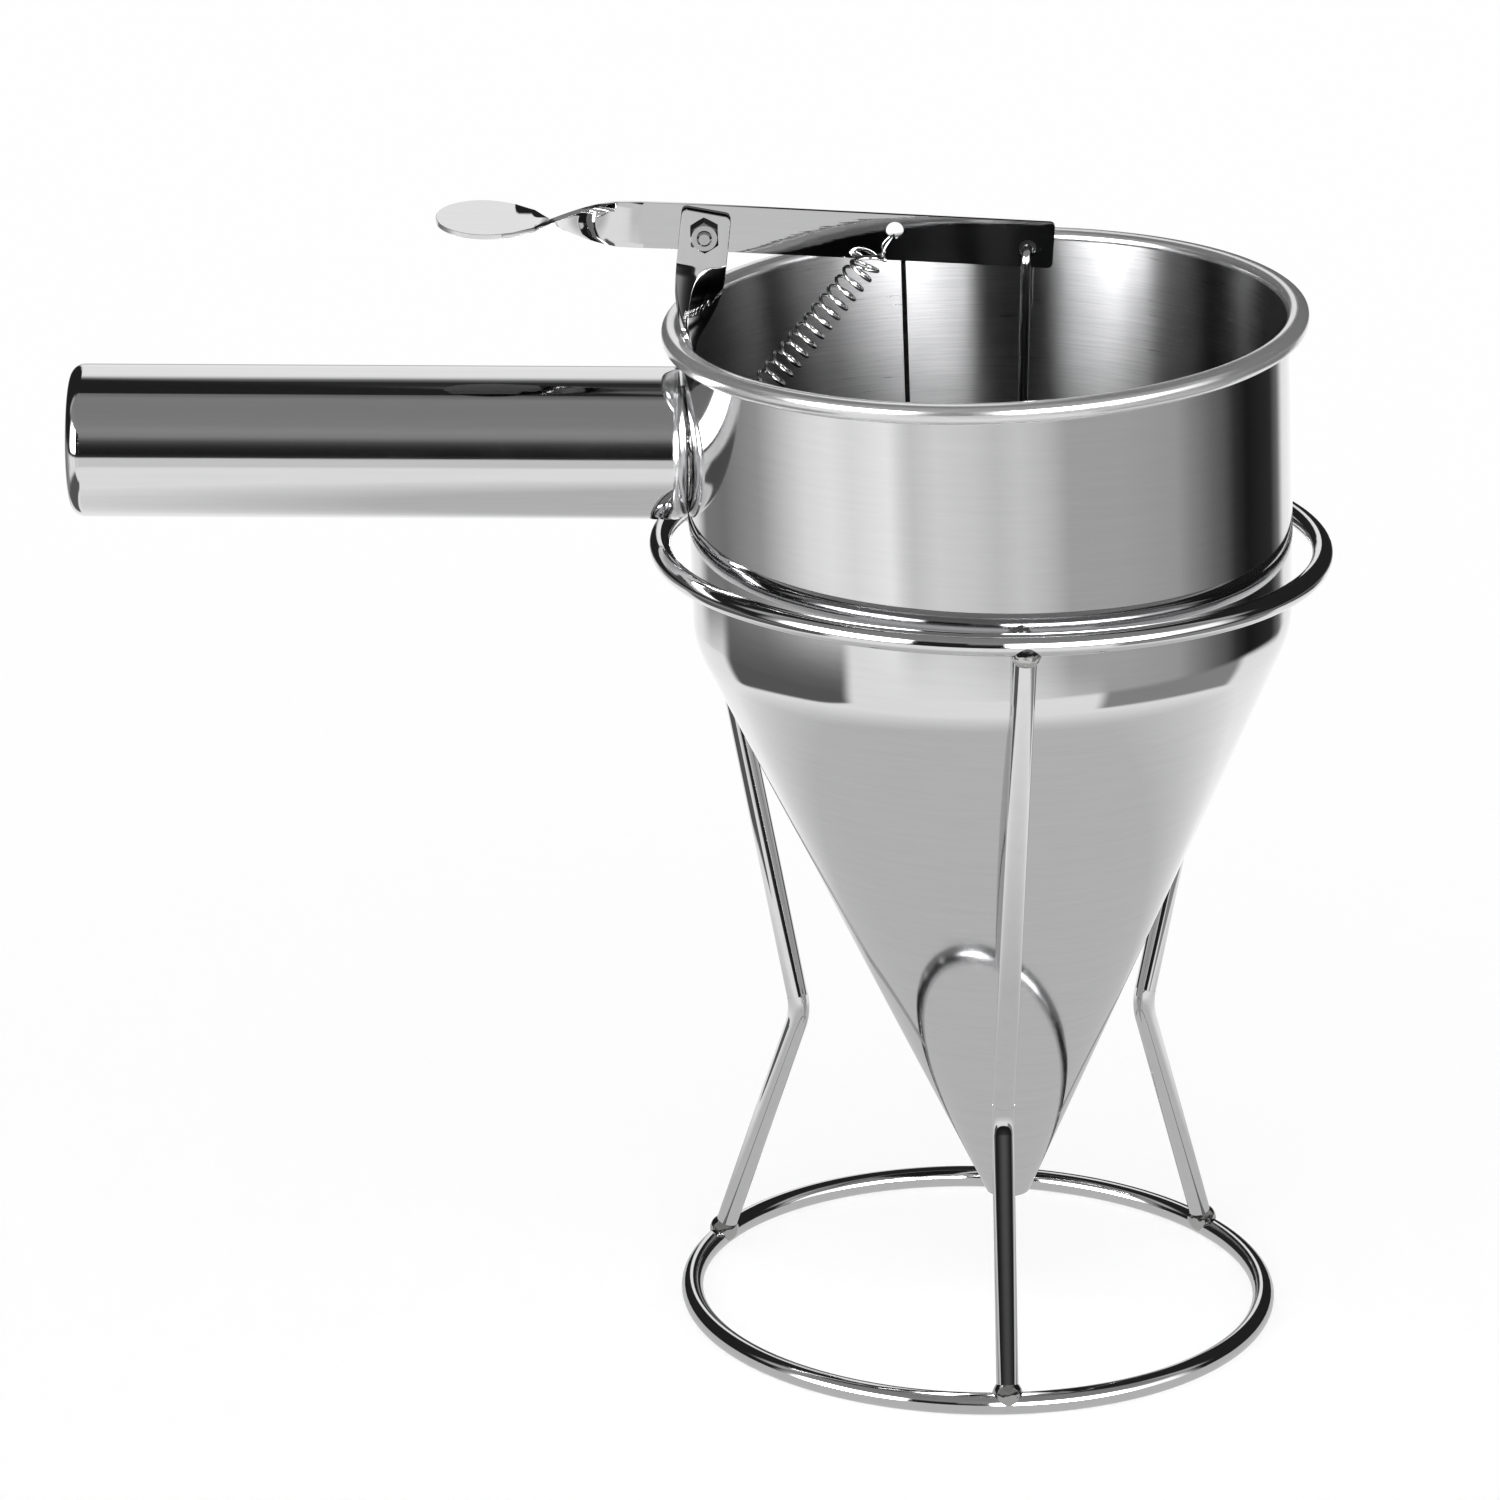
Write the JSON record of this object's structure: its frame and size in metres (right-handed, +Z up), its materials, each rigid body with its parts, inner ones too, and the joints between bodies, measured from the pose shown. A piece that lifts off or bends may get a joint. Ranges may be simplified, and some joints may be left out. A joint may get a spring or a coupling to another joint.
{
  "type": "pancake batter dispenser",
  "caption": "Steel batter funnel with a side handle, a sprung thumb lever that lifts a stopper from its outlet, and a loose bent-wire stand.",
  "frame": {"origin": "centre of the foot ring, on the surface the stand rests on", "axes": "+Z up, handle towards -X, front towards -Y"},
  "size_m": [0.2555, 0.1391, 0.2373],
  "materials": {
    "funnel_bowl": "mirror-polished stainless steel",
    "bowl_seam": "satin stainless steel",
    "funnel_cone": "mirror-polished stainless steel",
    "handle_tube": "mirror-polished stainless steel",
    "handle_end_cap": "mirror-polished stainless steel",
    "handle_root_cap": "mirror-polished stainless steel",
    "handle_weld": "satin stainless steel",
    "bracket": "satin stainless steel",
    "pivot_screw": "plain stainless steel",
    "pivot_nut": "plain stainless steel",
    "pivot_washers": "plain stainless steel",
    "lever": "satin stainless steel",
    "spring": "plain stainless steel",
    "rod": "mirror-polished stainless steel",
    "stopper": "mirror-polished stainless steel",
    "top_ring": "mirror-polished stainless steel",
    "foot_ring": "mirror-polished stainless steel",
    "leg_front": "mirror-polished stainless steel",
    "leg_right": "mirror-polished stainless steel",
    "leg_left": "mirror-polished stainless steel",
    "top_welds": "satin stainless steel",
    "foot_welds": "satin stainless steel"
  },
  "bodies": {
    "stand": {"top_ring": "top_ring", "foot_ring": "foot_ring", "leg_front": "leg_front", "leg_right": "leg_right", "leg_left": "leg_left", "top_welds": "top_welds", "foot_welds": "foot_welds"},
    "funnel": {"funnel_bowl": "funnel_bowl", "bowl_seam": "bowl_seam", "funnel_cone": "funnel_cone", "handle_tube": "handle_tube", "handle_end_cap": "handle_end_cap", "handle_root_cap": "handle_root_cap", "handle_weld": "handle_weld", "bracket": "bracket", "pivot_screw": "pivot_screw", "pivot_nut": "pivot_nut", "pivot_washers": "pivot_washers", "spring": "spring"},
    "lever": {"lever": "lever"},
    "rod": {"rod": "rod", "stopper": "stopper"}
  },
  "joints": [
    {"name": "funnel_lift", "type": "slide", "parent": "stand", "child": "funnel", "axis": [0, 0, 1], "range_m": [0, 0.2]},
    {"name": "lever_hinge", "type": "hinge", "parent": "funnel", "child": "lever", "pos_m": [-0.0583, -0.00165, 0.2308], "axis": [0.0011, -0.9997, -0.0244], "range_deg": [0, 25], "stiffness_Nm_per_rad": 0.27, "springref_deg": -31.51, "deforming": ["spring"]},
    {"name": "rod_hook", "type": "hinge", "parent": "lever", "child": "rod", "pos_m": [0.00626, -0.00151, 0.22761], "axis": [0.0011, -0.9997, -0.0244], "range_deg": [-25, 0]}
  ],
  "couplings": [
    {"joint": "rod_hook", "follows": "lever_hinge", "ratio": -1}
  ]
}
